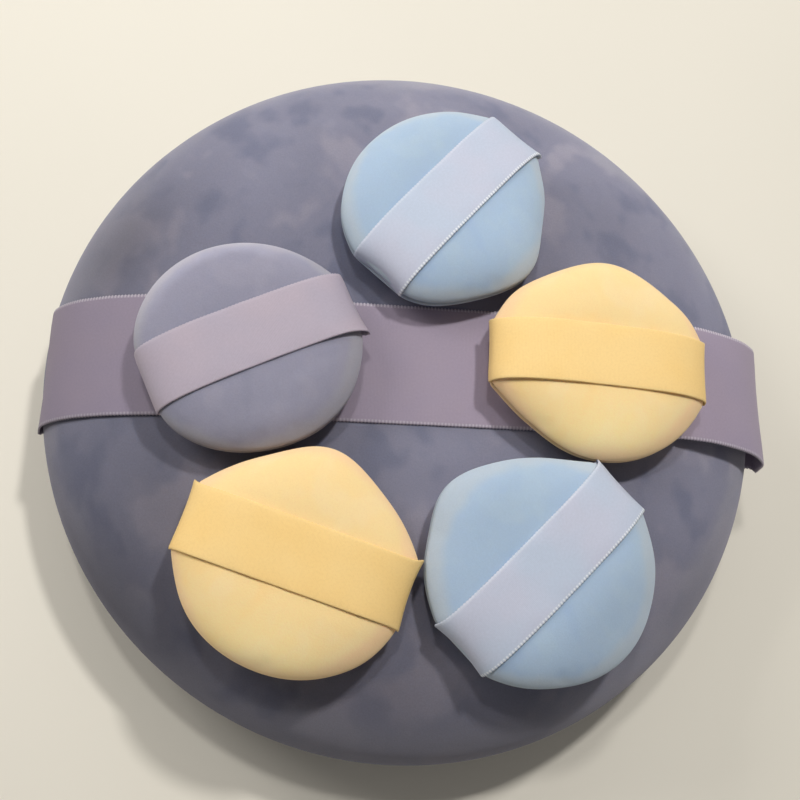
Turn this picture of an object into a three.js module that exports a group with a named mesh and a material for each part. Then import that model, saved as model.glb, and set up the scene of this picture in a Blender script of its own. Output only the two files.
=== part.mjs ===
// A set of powder puffs: one large body puff with a woven band across its back, and five small
// face puffs that lie on it, each with a narrow band of its own.
// Millimetres, +Z up. The origin is the middle of the flat on which the large puff stands, and
// the large puff's band runs along X.

import * as THREE from "three";

// Fits between pieces that touch in the real set.
const clearance = 0.3;

// Large puff. The seam lies below mid height, because the filling rises more under the back.
const largeRadius = 100;
const largeCrownRise = 26;
const largeFaceDepth = 22;
const largeStandingCut = 0.5;
const largeClothThickness = 1.5;
const largeSeamAllowance = 8;
const largeLipRadius = 0.8;
const largeThreadDiameter = 0.5;
const largeRibbonWidth = 32;
const largeRibbonThickness = 0.5;
const largeRibbonTuckDepth = 4;
const largeRibbonStandOffHeight = 4.5;
const largeSquareness = 4.6;
const largeSegments = 40;

// Small puffs. All five have one size, and lie about as close together as they fit.
const smallRadius = 28;
const smallCrownRise = 8;
const smallFaceDepth = 7;
const smallClothThickness = 1;
const smallSeamAllowance = 4;
const smallLipRadius = 0.4;
const smallThreadDiameter = 0.35;
const smallRibbonWidth = 16;
const smallRibbonThickness = 0.35;
const smallRibbonTuckDepth = 2.2;
const smallRibbonStandOffHeight = 0.9;
const smallSquareness = 3.4;
const smallFaceSquareness = 4.5;
const smallSegments = 24;
const smallPitch = 2 * smallRadius + clearance;

// Where the rings of a cover, its lining, its filling and its band lie, from rim to middle.
const largeRingShares = [0.99, 0.965, 0.92, 0.85, 0.74, 0.6, 0.4, 0.2];
const smallRingShares = [0.97, 0.91, 0.8, 0.6, 0.3];
const largeLiningShares = [0.965, 0.85, 0.6, 0.3];
const smallLiningShares = [0.91, 0.7, 0.4];
const ribbonShares = [0.985, 0.965, 0.94, 0.9, 0.85, 0.78, 0.68, 0.55, 0.4, 0.2];
const threadSides = 5;
const curlShares = [[0.12, 0], [0.62, 0.03], [0.93, 0.28]];

// How far the large band reaches at its ends, as shares of the large puff's radius, and over
// which stretch a band bows away from its puff, as shares of a small puff's radius.
const largeReachShares = [0.992, 0.992];
const largeBowShares = [0.4, 1.2];
const smallBowShares = [0.5, 0.95];

// Where each small puff lies: the place of its middle as shares of the pitch, the turn of its
// band from X in degrees, how far that band lies off the middle, how far the outline reaches at
// the band's two ends, and the soft swells and hollows of the outline between them, as turn
// from the band, spread and share of the radius.
const smallPuffs = [
  {
    name: "lilac", placeShares: [-0.794, 0.003], turn: 25, onRibbon: true, bandShiftShare: 0,
    standOffEnds: [0, 1], reachShares: [0.94, 0.965], cover: 0xa3a0af, band: 0xb5aab7,
    outlineShares: [[136, 40, 0.014], [-52, 40, 0.006], [55, 62, -0.03], [-103, 50, -0.034]],
  },
  {
    name: "blue_top", placeShares: [0.089, 0.755], turn: 49.4, onRibbon: false, bandShiftShare: 0,
    standOffEnds: [0, 0], reachShares: [1.015, 1.045], cover: 0xb8cad9, band: 0xc4cbdb,
    outlineShares: [
      [-155, 24, 0.055], [-120, 25, -0.02], [-90, 24, 0.03], [-58, 32, -0.07], [28, 28, 0.04],
      [87, 45, -0.032], [150, 30, 0.045],
    ],
  },
  {
    name: "yellow_right", placeShares: [0.791, 0.027], turn: -2.7, onRibbon: true,
    bandShiftShare: -0.045, standOffEnds: [0, 0], reachShares: [1.04, 1.01], cover: 0xffe3ac,
    band: 0xfed890,
    outlineShares: [
      [-105, 60, -0.04], [-135, 35, -0.04], [-150, 25, 0.03], [-30, 30, 0.03], [28, 17, 0.03],
      [56, 40, -0.045], [116, 40, -0.07], [152, 22, 0.035],
    ],
  },
  {
    name: "yellow_low", placeShares: [-0.554, -0.918], turn: -18.1, onRibbon: false,
    bandShiftShare: 0.046, standOffEnds: [0, 0], reachShares: [1.01, 1], cover: 0xfde3a3,
    band: 0xfcd98f,
    outlineShares: [
      [-95, 58, -0.052], [-30, 25, 0.03], [57, 34, -0.062], [92, 22, 0.02], [124, 34, -0.07],
    ],
  },
  {
    name: "blue_low", placeShares: [0.494, -0.917], turn: 45, onRibbon: false, bandShiftShare: 0.01,
    standOffEnds: [0, 0], reachShares: [1.01, 1.04], cover: 0xa4b8cf, band: 0xbdc6d4,
    outlineShares: [
      [-87, 60, 0.065], [-33, 35, 0.05], [-152, 30, 0.035], [47, 32, -0.035], [98, 30, 0.105],
      [142, 35, 0.05],
    ],
  },
];

// A dome from the seam plane to the crown. point() takes a share of the radius and moves the
// point inwards by a depth along the surface's own normal.
function dome(radius, rise, squareness, flatRise = rise) {
  const height = (share) => Math.sqrt(Math.max(0, 1 - share ** squareness));
  const normal = (share) => {
    const across = rise * squareness * share ** (squareness - 1);
    const along = 2 * radius * height(share);
    const length = Math.hypot(across, along);
    return [across / length, along / length];
  };
  const point = (share, depth = 0) => {
    const [outwards, upwards] = normal(share);
    const level = Math.min(rise * height(share) - depth * upwards, flatRise - depth);
    return [radius * share - depth * outwards, level];
  };
  const shareAt = (level) => Math.max(0, 1 - (level / rise) ** 2) ** (1 / squareness);
  return { radius, point, normal, shareAt, flatShare: shareAt(flatRise) };
}

// The outline of a puff as one share of its radius for each segment. The band pulls it straight
// across both of its ends.
function outlineOf(segments, [startReach, endReach], swells) {
  const step = (2 * Math.PI) / segments;
  return Array.from({ length: segments }, (_, k) => {
    const fromEnd = Math.min(k, segments - k, Math.abs(k - segments / 2));
    if (fromEnd <= 1) return (Math.cos(k * step) > 0 ? endReach : startReach) / Math.cos(fromEnd * step);
    let share = 1;
    for (const [turn, spread, swell] of swells) {
      const away = Math.abs(((((k * 360) / segments - turn) % 360) + 540) % 360 - 180);
      if (away < spread) share += (swell * (1 + Math.cos((Math.PI * away) / spread))) / 2;
    }
    return share;
  });
}

// Turns a profile of [radius, height] points about Z, with each ring pulled to the outline. The
// profile runs anticlockwise, either from the axis back to the axis or as a closed loop.
function turned(profile, outline, isLoop = false) {
  const rings = isLoop ? profile : profile.slice(1, -1);
  const segments = outline.length;
  const positions = [];
  const index = [];
  for (const [radius, height] of rings) {
    outline.forEach((share, k) => {
      const turn = (2 * Math.PI * k) / segments;
      positions.push(radius * share * Math.cos(turn), radius * share * Math.sin(turn), height);
    });
  }
  for (let row = 0; row < (isLoop ? rings.length : rings.length - 1); row++) {
    for (let k = 0; k < segments; k++) {
      const [a, b] = [row * segments + k, row * segments + ((k + 1) % segments)];
      const up = ((row + 1) % rings.length) * segments;
      const [c, d] = [up + ((k + 1) % segments), up + k];
      index.push(a, b, c, a, c, d);
    }
  }
  if (!isLoop) {
    const [low, high] = [positions.length / 3, positions.length / 3 + 1];
    const top = (rings.length - 1) * segments;
    positions.push(0, 0, profile[0][1], 0, 0, profile.at(-1)[1]);
    for (let k = 0; k < segments; k++) {
      const next = (k + 1) % segments;
      index.push(low, next, k, high, top + k, top + next);
    }
  }
  const geometry = new THREE.BufferGeometry();
  geometry.setAttribute("position", new THREE.Float32BufferAttribute(positions, 3));
  geometry.setIndex(index);
  geometry.computeVertexNormals();
  return geometry;
}

// One half of the cover: the cloth's outside, a small roll at the seam, the seam allowance
// turned in, and the inside. Heights are measured up from the middle of the seam.
function coverProfile(shape, sizes) {
  const { clothThickness, seamAllowance, lipRadius, seamGap, ringShares, liningShares } = sizes;
  const low = seamGap / 2;
  const rollShare = shape.shareAt(low + lipRadius);
  const rings = ringShares.filter((share) => share > shape.flatShare);
  if (shape.flatShare > 0) rings.push(shape.flatShare);
  const foldTop = low + clothThickness;
  const foldShare = shape.shareAt(foldTop + clothThickness);
  const inner = liningShares.filter((share) => share < foldShare);
  return [
    shape.point(0),
    ...rings.map((share) => shape.point(share)).reverse(),
    shape.point(rollShare),
    [shape.radius - lipRadius, low],
    [shape.radius - seamAllowance, low],
    [shape.radius - seamAllowance, foldTop],
    [shape.point(foldShare, clothThickness)[0], foldTop],
    ...inner.map((share) => shape.point(share, clothThickness)),
    shape.point(0, clothThickness),
  ];
}

// Turns a profile of the upper half over to make one of the lower half.
const lowered = (profile) => profile.map(([radius, height]) => [radius, -height]);

// The filling: a foam disc that follows the inside of both covers and ends inside the seam
// allowances.
function fillingProfile(back, face, sizes) {
  const side = back.radius - sizes.seamAllowance - clearance;
  const half = (shape) => {
    const wall = sizes.clothThickness + clearance;
    const points = [...sizes.liningShares, 0].map((share) => shape.point(share, wall));
    const first = points.findIndex(([radius]) => radius < side);
    const [outer, inner] = [points[Math.max(0, first - 1)], points[first]];
    const part = first > 0 ? (outer[0] - side) / (outer[0] - inner[0]) : 1;
    const shoulder = outer[1] + (inner[1] - outer[1]) * part;
    return [[Math.min(side, outer[0]), shoulder], ...points.slice(first)];
  };
  return [...lowered(half(face)).reverse(), ...half(back)];
}

// Gives a line of [x, z] points a thickness, half to each side, with mitred corners.
function thickened(line, thickness) {
  const unit = ([x0, z0], [x1, z1]) => {
    const length = Math.hypot(x1 - x0, z1 - z0);
    return [(x1 - x0) / length, (z1 - z0) / length];
  };
  const side = (half) =>
    line.map((point, k) => {
      const into = unit(line[Math.max(0, k - 1)], line[Math.max(1, k)]);
      const out = unit(line[Math.min(line.length - 2, k)], line[Math.min(line.length - 1, k + 1)]);
      const mitre = [-into[1] - out[1], into[0] + out[0]];
      const scale = half / (-mitre[0] * into[1] + mitre[1] * into[0]);
      return [point[0] + mitre[0] * scale, point[1] + mitre[1] * scale];
    });
  return [...side(thickness / 2), ...side(-thickness / 2).reverse()];
}

// The band lies over the back, goes down to the seam at both ends and is tucked in there. An
// end that stands off bows away from the rim before it curls in.
function ribbonGeometry(back, sizes, style) {
  const { ribbonThickness, ribbonWidth, ribbonTuckDepth } = sizes;
  const { reachShares, standOffs, bandShiftShare, standOffSpan: [easeFrom, easeTo] } = style;
  const ease = (share) => {
    const t = Math.min(1, Math.max(0, (share * back.radius - easeFrom) / (easeTo - easeFrom)));
    return t * t * (3 - 2 * t);
  };
  const half = (way, reach, standOff) => {
    const seam = reach * back.radius;
    const rim = seam + clearance + ribbonThickness / 2;
    const curl = standOff > 0 ? curlShares : [[0, 0]];
    return [
      [way * (seam - ribbonTuckDepth), 0],
      ...curl.map(([out, up]) => [way * (rim + out * standOff), up * standOff]),
      ...ribbonShares.map((share) => {
        const [x, z] = back.point(share, -(clearance + ribbonThickness / 2 + standOff * ease(share)));
        return [way * (x + (reach - 1) * back.radius * share), z];
      }),
    ];
  };
  const line = [
    ...half(-1, reachShares[0], standOffs[0]),
    [0, back.point(0, -(clearance + ribbonThickness / 2))[1]],
    ...half(1, reachShares[1], standOffs[1]).reverse(),
  ];
  const shape = new THREE.Shape(thickened(line, ribbonThickness).map(([x, z]) => new THREE.Vector2(x, z)));
  const geometry = new THREE.ExtrudeGeometry(shape, { depth: ribbonWidth, bevelEnabled: false });
  return geometry.translate(0, 0, -ribbonWidth / 2 - bandShiftShare * back.radius).rotateX(Math.PI / 2);
}

// The thread that closes the seam, just inside the band's tucked ends.
function threadProfile(sizes) {
  const ring = sizes.radius - sizes.ribbonTuckDepth - clearance - sizes.threadDiameter;
  return Array.from({ length: threadSides }, (_, k) => {
    const turn = (2 * Math.PI * k) / threadSides;
    const half = sizes.threadDiameter / 2;
    return [ring + half * Math.cos(turn), half * Math.sin(turn)];
  });
}

function clothMaterial(color, roughness) {
  return new THREE.MeshStandardMaterial({ color, roughness, metalness: 0, side: THREE.FrontSide });
}

function namedMesh(name, geometry, material) {
  const mesh = new THREE.Mesh(geometry, material);
  mesh.name = name;
  return mesh;
}

// A whole puff, standing on the lowest point of its face.
function makePuff(name, sizes, style) {
  const puff = new THREE.Group();
  const back = dome(sizes.radius, sizes.crownRise, sizes.squareness);
  const faceRise = sizes.faceDepth + sizes.standingCut;
  const face = dome(sizes.radius, faceRise, sizes.faceSquareness, sizes.faceDepth);
  const outline = outlineOf(sizes.segments, style.reachShares, style.outlineShares);
  const coverCloth = clothMaterial(style.cover, 0.95);
  const backCover = turned(coverProfile(back, sizes).reverse(), outline);
  const faceCover = turned(lowered(coverProfile(face, sizes)), outline);
  const foamCore = turned(fillingProfile(back, face, sizes), outline);
  const seamThread = turned(threadProfile(sizes), outline, true);
  puff.add(
    namedMesh(`${name}_back_cover`, backCover, coverCloth),
    namedMesh(`${name}_face_cover`, faceCover, coverCloth),
    namedMesh(`${name}_foam_core`, foamCore, clothMaterial(0xe9e4d8, 0.9)),
    namedMesh(`${name}_seam_thread`, seamThread, clothMaterial(style.cover, 0.8)),
    namedMesh(`${name}_ribbon`, ribbonGeometry(back, sizes, style), clothMaterial(style.band, 0.7)),
  );
  puff.children.forEach((mesh) => mesh.position.setZ(sizes.faceDepth));
  return puff;
}

const largeSizes = {
  radius: largeRadius, crownRise: largeCrownRise, faceDepth: largeFaceDepth, standingCut: largeStandingCut,
  clothThickness: largeClothThickness, seamAllowance: largeSeamAllowance, lipRadius: largeLipRadius,
  threadDiameter: largeThreadDiameter, ribbonWidth: largeRibbonWidth, ribbonThickness: largeRibbonThickness,
  ribbonTuckDepth: largeRibbonTuckDepth, squareness: largeSquareness, faceSquareness: largeSquareness,
  segments: largeSegments,
  seamGap: Math.max(largeRibbonThickness, largeThreadDiameter) + 2 * clearance,
  ringShares: largeRingShares, liningShares: largeLiningShares,
};
const smallSizes = {
  radius: smallRadius, crownRise: smallCrownRise, faceDepth: smallFaceDepth, standingCut: 0,
  clothThickness: smallClothThickness, seamAllowance: smallSeamAllowance, lipRadius: smallLipRadius,
  threadDiameter: smallThreadDiameter, ribbonWidth: smallRibbonWidth, ribbonThickness: smallRibbonThickness,
  ribbonTuckDepth: smallRibbonTuckDepth, squareness: smallSquareness, faceSquareness: smallFaceSquareness,
  segments: smallSegments,
  seamGap: Math.max(smallRibbonThickness, smallThreadDiameter) + 2 * clearance,
  ringShares: smallRingShares, liningShares: smallLiningShares,
};

// The large puff. Its band hangs loose at the end on +X, from beyond the small puff on it.
const looseFrom = smallPuffs[2].placeShares[0] * smallPitch;
const largeBow = largeBowShares.map((share) => looseFrom + share * smallRadius);
const setOfPuffs = new THREE.Group();
setOfPuffs.add(
  makePuff("large", largeSizes, {
    cover: 0x8b8b9a, band: 0x988d98, reachShares: largeReachShares, outlineShares: [], bandShiftShare: 0,
    standOffs: [0, largeRibbonStandOffHeight], standOffSpan: largeBow,
  }),
);

// The small puffs. Each lies square to the large puff's crown, or on its band.
const crown = dome(largeRadius, largeCrownRise, largeSquareness);
for (const style of smallPuffs) {
  const [x, y] = style.placeShares.map((share) => share * smallPitch);
  const share = Math.hypot(x, y) / largeRadius;
  const [outwards, upwards] = crown.normal(share);
  const bandLift = style.onRibbon ? largeRibbonThickness + clearance : 0;
  const turnAbout = Math.atan2(y, x);
  const puff = makePuff(style.name, smallSizes, {
    ...style,
    standOffs: style.standOffEnds.map((end) => end * smallRibbonStandOffHeight),
    standOffSpan: smallBowShares.map((share) => share * smallRadius),
  });
  const [radius, height] = crown.point(share, -(clearance + bandLift));
  puff.position.set(radius * Math.cos(turnAbout), radius * Math.sin(turnAbout), largeFaceDepth + height);
  puff.quaternion.setFromUnitVectors(
    new THREE.Vector3(0, 0, 1),
    new THREE.Vector3(outwards * Math.cos(turnAbout), outwards * Math.sin(turnAbout), upwards),
  );
  puff.rotateZ(THREE.MathUtils.degToRad(style.turn));
  setOfPuffs.add(puff);
}

export default setOfPuffs;
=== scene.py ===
# A set of powder puffs: one large body puff with a woven band across its back, and five small
# face puffs lying on it, each with a narrow band of its own. All lengths are in metres.

import math

import bpy
import numpy as np
from mathutils import Matrix, Vector


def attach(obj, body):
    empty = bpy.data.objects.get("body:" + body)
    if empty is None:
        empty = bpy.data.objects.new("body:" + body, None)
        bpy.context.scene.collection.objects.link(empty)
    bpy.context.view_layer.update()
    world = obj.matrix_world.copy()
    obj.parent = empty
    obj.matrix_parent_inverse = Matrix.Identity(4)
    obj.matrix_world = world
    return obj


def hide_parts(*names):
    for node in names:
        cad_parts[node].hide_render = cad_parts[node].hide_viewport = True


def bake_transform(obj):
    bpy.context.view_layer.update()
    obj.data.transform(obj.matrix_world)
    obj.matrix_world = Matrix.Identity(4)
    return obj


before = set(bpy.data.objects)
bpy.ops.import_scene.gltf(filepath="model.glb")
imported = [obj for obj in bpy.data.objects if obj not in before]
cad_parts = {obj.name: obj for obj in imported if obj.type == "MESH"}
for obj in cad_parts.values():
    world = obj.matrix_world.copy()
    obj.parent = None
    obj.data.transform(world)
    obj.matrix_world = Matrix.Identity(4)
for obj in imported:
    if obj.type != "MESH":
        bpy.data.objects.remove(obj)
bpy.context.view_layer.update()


# Large puff, its two covers. Each is a disc of short velour drawn over the foam, and the two are
# sewn together round the side a little below mid height. The pile is brushed by hands, so it
# shows soft lighter and darker patches. Over these it has painted light and shade: it is painted
# lighter towards the far side and darker towards the near side, paler over the rim, and darker
# along the seam, and some of its strokes are painted light and shade.

large_radius = 0.100
large_crown_rise = 0.026
large_face_depth = 0.022
large_standing_cut = 0.0005
large_squareness = 4.6
large_lip = 0.0016
large_cloth = 0.0015
large_allowance = 0.008
large_segments = 112
large_band_width = 0.032

# Where the small puffs lie on it, in steps of their pitch, and their size.
small_radius = 0.028
small_face_depth = 0.007
small_face_squareness = 4.5
small_pitch = 0.0563
small_places = {
    "lilac": (-0.794, 0.003),
    "blue_top": (0.089, 0.755),
    "yellow_right": (0.791, 0.027),
    "yellow_low": (-0.554, -0.918),
    "blue_low": (0.494, -0.917),
}


def rise_at(share, squareness):
    """Height of a puff's half over its seam as a share of the full rise."""
    return np.sqrt(np.clip(1 - np.abs(share) ** squareness, 0, None))


def outside_line(radius, rise, squareness, flat_rise, lip, rings):
    """The outside of one half from its middle to the lip that rolls into the seam."""
    share = 1 - (1 - np.linspace(0, 1, 4000)) ** 3
    up = np.minimum(rise * rise_at(share, squareness), flat_rise)
    across = (radius * share)[up > lip]
    up = up[up > lip]
    roll = np.linspace(0, np.pi / 2, 40)[1:]
    across = np.append(across, across[-1] - lip + lip * np.cos(roll))
    up = np.append(up, lip - lip * np.sin(roll))
    along = np.append(0, np.cumsum(np.hypot(np.diff(across), np.diff(up))))
    steps = along[-1] * (1 - (1 - np.linspace(0, 1, rings)) ** 1.5)
    return np.interp(steps, along, across), np.interp(steps, along, up)


def around(segments):
    return 2 * np.pi * np.arange(segments) / segments


def at_band_end(turns, half_angle):
    """1 where the band goes into the seam, 0 elsewhere round the puff."""
    away = np.abs((turns + np.pi / 2) % np.pi - np.pi / 2)
    fade = np.clip((away - half_angle) / math.radians(4), 0, 1)
    return 1 - fade * fade * (3 - 2 * fade)


def outside(line, way, reach, gap):
    """Points of one half's outside, ring by ring, above (way 1) or below (way -1) the seam."""
    across, up = line
    turns = around(len(reach))
    gap_fades_over = 0.0012
    level = up[:, None] + gap[None, :] * np.exp(-up[:, None] / gap_fades_over)
    flat = across[:, None] * reach[None, :]
    return np.stack([flat * np.cos(turns), flat * np.sin(turns), way * level], axis=2)


def skin(name, rings, loop=False):
    """A closed mesh through rings of points. A ring of one point is a pole."""
    points, starts = [], []
    for ring in rings:
        starts.append(len(points))
        points.extend(ring)
    faces = []
    pairs = list(zip(range(len(rings) - 1), range(1, len(rings))))
    if loop:
        pairs.append((len(rings) - 1, 0))
    for low, high in pairs:
        a, b, n = starts[low], starts[high], max(len(rings[low]), len(rings[high]))
        for k in range(n):
            m = (k + 1) % n
            if len(rings[low]) == 1:
                faces.append((a, b + k, b + m))
            elif len(rings[high]) == 1:
                faces.append((a + k, b, a + m))
            else:
                faces.append((a + k, b + k, b + m, a + m))
    mesh = bpy.data.meshes.new(name)
    mesh.from_pydata([tuple(map(float, p)) for p in points], [], faces)
    mesh.validate()
    mesh.polygons.foreach_set("use_smooth", [True] * len(mesh.polygons))
    return mesh


def piece(name, mesh, place, body, material, detail=0):
    """Puts a mesh in its place as a piece that moves with a body. A band is given none."""
    made = bpy.data.objects.new(name, mesh)
    bpy.context.scene.collection.objects.link(made)
    made.matrix_world = place
    mesh.materials.append(material)
    if detail:
        finer = made.modifiers.new("finer", "SUBSURF")
        finer.levels = finer.render_levels = detail
    if body:
        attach(made, body)
    return made


def poles(rings):
    """The same rings with the first one drawn together into a pole."""
    return [rings[0].mean(axis=0)[None, :], *rings[1:]]


def puffed(halves, held, room, pressure, size=10):
    """Blows the sewn bag of both halves up with cloth simulation, and keeps each point within
    the room that it has outside the plain form. The bag is simulated "size" times as big."""
    cloth_frames, flattened = 20, (1, 1, 0.985)
    most_inwards, most_aside = 0.0004, 0.0005
    back, face = halves
    mesh = skin("bag", [ring * size for ring in [*poles(back), *poles(face)[::-1]]])
    bag = bpy.data.objects.new("bag", mesh)
    bpy.context.scene.collection.objects.link(bag)
    weights = np.concatenate(held)
    group = bag.vertex_groups.new(name="held")
    for index, weight in enumerate(weights):
        if weight > 0:
            group.add([index], float(weight), "REPLACE")
    start = np.array([v.co for v in mesh.vertices], float)
    mesh.vertices.foreach_set("co", (start * flattened).astype(np.float32).ravel())
    air = bag.modifiers.new("air", "CLOTH")
    cloth = air.settings
    cloth.quality = 6
    cloth.mass = 0.15
    cloth.tension_stiffness = cloth.compression_stiffness = 12
    cloth.shear_stiffness = 4
    cloth.bending_stiffness = 0.4
    cloth.use_pressure = True
    cloth.uniform_pressure_force = pressure
    cloth.effector_weights.gravity = 0
    cloth.vertex_group_mass = "held"
    air.collision_settings.use_collision = False
    scene = bpy.context.scene
    for frame_number in range(1, cloth_frames + 1):
        scene.frame_set(frame_number)
    shown = bag.evaluated_get(bpy.context.evaluated_depsgraph_get())
    blown = np.array([v.co for v in shown.data.vertices], float)
    normals = np.array([v.normal for v in shown.data.vertices], float)
    bag.modifiers.remove(air)
    scene.frame_set(1)
    bpy.data.objects.remove(bag)
    move = (blown - start) / size
    out = (move * normals).sum(axis=1)
    aside = move - out[:, None] * normals
    length = np.linalg.norm(aside, axis=1)
    aside *= (np.minimum(length, most_aside) / np.maximum(length, 1e-9))[:, None]
    move = aside + np.clip(out, -most_inwards, np.concatenate(room))[:, None] * normals
    full = start / size + move * (1 - weights)[:, None]
    at_back = 1 + (back.shape[0] - 1) * back.shape[1]
    back_points, face_points = full[:at_back], full[at_back:]
    made_back, made_face = np.empty_like(back), np.empty_like(face)
    made_back[0], made_face[0] = back_points[0], face_points[-1]
    made_back[1:] = back_points[1:].reshape(-1, back.shape[1], 3)
    made_face[1:] = face_points[:-1].reshape(-1, face.shape[1], 3)[::-1]
    return made_back, made_face


def cover(name, rings, way, radius, rise, cloth, allowance, gap):
    """One cover as a closed piece of cloth: the outside, the lip, the allowance that is turned
    in at the seam, and the lining side."""
    turns = around(rings.shape[1])
    lip = rings[-1]
    reach = np.hypot(lip[:, 0], lip[:, 1])
    level = way * np.maximum(gap, 0.00012)
    def ring(back_by, height):
        flat = reach - back_by
        return np.stack([flat * np.cos(turns), flat * np.sin(turns), height], axis=1)
    inside = rings * np.array([(radius - cloth) / radius] * 2 + [(rise - cloth) / rise])
    inside[:, :, 2] = way * np.maximum(way * inside[:, :, 2], way * level[None, :] + cloth)
    fit = np.hypot(inside[:, :, 0], inside[:, :, 1]).max(axis=1) < reach.min() - 0.6 * cloth
    lining = inside[fit][::-2]
    turned_in = [
        ring(0.3 * allowance, level), ring(allowance, level), ring(allowance, level + way * cloth),
    ]
    mesh = skin(name, [*poles(rings), *turned_in, *lining[:-1], lining[-1].mean(axis=0)[None, :]])
    if way < 0:
        mesh.flip_normals()
    return mesh


def stroke_and_paint_light(mesh, pile_and_light_marks):
    """Strokes in the pile, partly left by a hand and partly painted light and shade. Each is its
    place, heading, half length, half width and how much lighter it looks."""
    spots = np.array([v.co for v in mesh.vertices], float)
    tone = np.zeros(len(spots))
    for x, y, heading, length, width, lighter in pile_and_light_marks:
        c, s = math.cos(math.radians(heading)), math.sin(math.radians(heading))
        along = ((spots[:, 0] - x) * c + (spots[:, 1] - y) * s) / length
        aside = ((spots[:, 1] - y) * c - (spots[:, 0] - x) * s) / width
        tone += lighter * np.exp(-1.5 * (along ** 2 + aside ** 2))
    mesh.attributes.new("brushed_and_painted_light", "FLOAT", "POINT").data.foreach_set("value", tone.astype(np.float32))


def add_node(tree, kind, inputs=None, **settings):
    made = tree.nodes.new(kind)
    for key, value in settings.items():
        setattr(made, key, value)
    for key, value in (inputs or {}).items():
        if isinstance(value, bpy.types.NodeSocket):
            tree.links.new(value, made.inputs[key])
        else:
            made.inputs[key].default_value = value
    return made


def maths(tree, operation, *values):
    """A sum, a product or the like of sockets and numbers."""
    return add_node(tree, "ShaderNodeMath", dict(enumerate(values)), operation=operation).outputs[0]


def measured_along(tree, place, way):
    """How far a point lies along a direction."""
    made = add_node(tree, "ShaderNodeVectorMath", {0: place, 1: way}, operation="DOT_PRODUCT")
    return made.outputs["Value"]


def length_of(tree, arrow):
    return add_node(tree, "ShaderNodeVectorMath", {0: arrow}, operation="LENGTH").outputs["Value"]


def graded(tree, value, low, high, to_low=0, to_high=1, eased=False):
    """A value carried over from one range to another and kept inside it."""
    return add_node(tree, "ShaderNodeMapRange", {
        "Value": value, "From Min": low, "From Max": high, "To Min": to_low, "To Max": to_high,
    }, interpolation_type="SMOOTHSTEP" if eased else "LINEAR").outputs[0]


def cloudy(tree, place, scale, detail, roughness=0.5, distortion=0):
    return add_node(tree, "ShaderNodeTexNoise", {
        "Vector": place, "Scale": scale, "Detail": detail, "Roughness": roughness,
        "Distortion": distortion,
    }).outputs["Fac"]


def dyed(tree, share, first, second, blend="MIX"):
    """Two colours laid over each other."""
    return add_node(
        tree, "ShaderNodeMix", {0: share, 6: first, 7: second}, data_type="RGBA", blend_type=blend,
    ).outputs[2]


def raised(tree, height, strength, distance, over=None):
    """Fine relief, on its own or over another one."""
    inputs = {"Height": height, "Strength": strength, "Distance": distance}
    if over:
        inputs["Normal"] = over
    return add_node(tree, "ShaderNodeBump", inputs).outputs[0]


def new_material(name):
    material = bpy.data.materials.new(name)
    material.use_nodes = True
    material.node_tree.nodes.clear()
    return material, material.node_tree


def finish(tree, **inputs):
    """The surface shader. Its sockets are named with _ for a space."""
    sockets = {key.replace("_", " "): value for key, value in inputs.items()}
    shader = add_node(tree, "ShaderNodeBsdfPrincipled", sockets)
    add_node(tree, "ShaderNodeOutputMaterial", {"Surface": shader.outputs[0]})


def shade(red, green, blue):
    """A colour as seen, 0 to 255, as the linear colour that the shader takes."""
    linear = [((c / 255 + 0.055) / 1.055) ** 2.4 for c in (red, green, blue)]
    return (*linear, 1)


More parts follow.
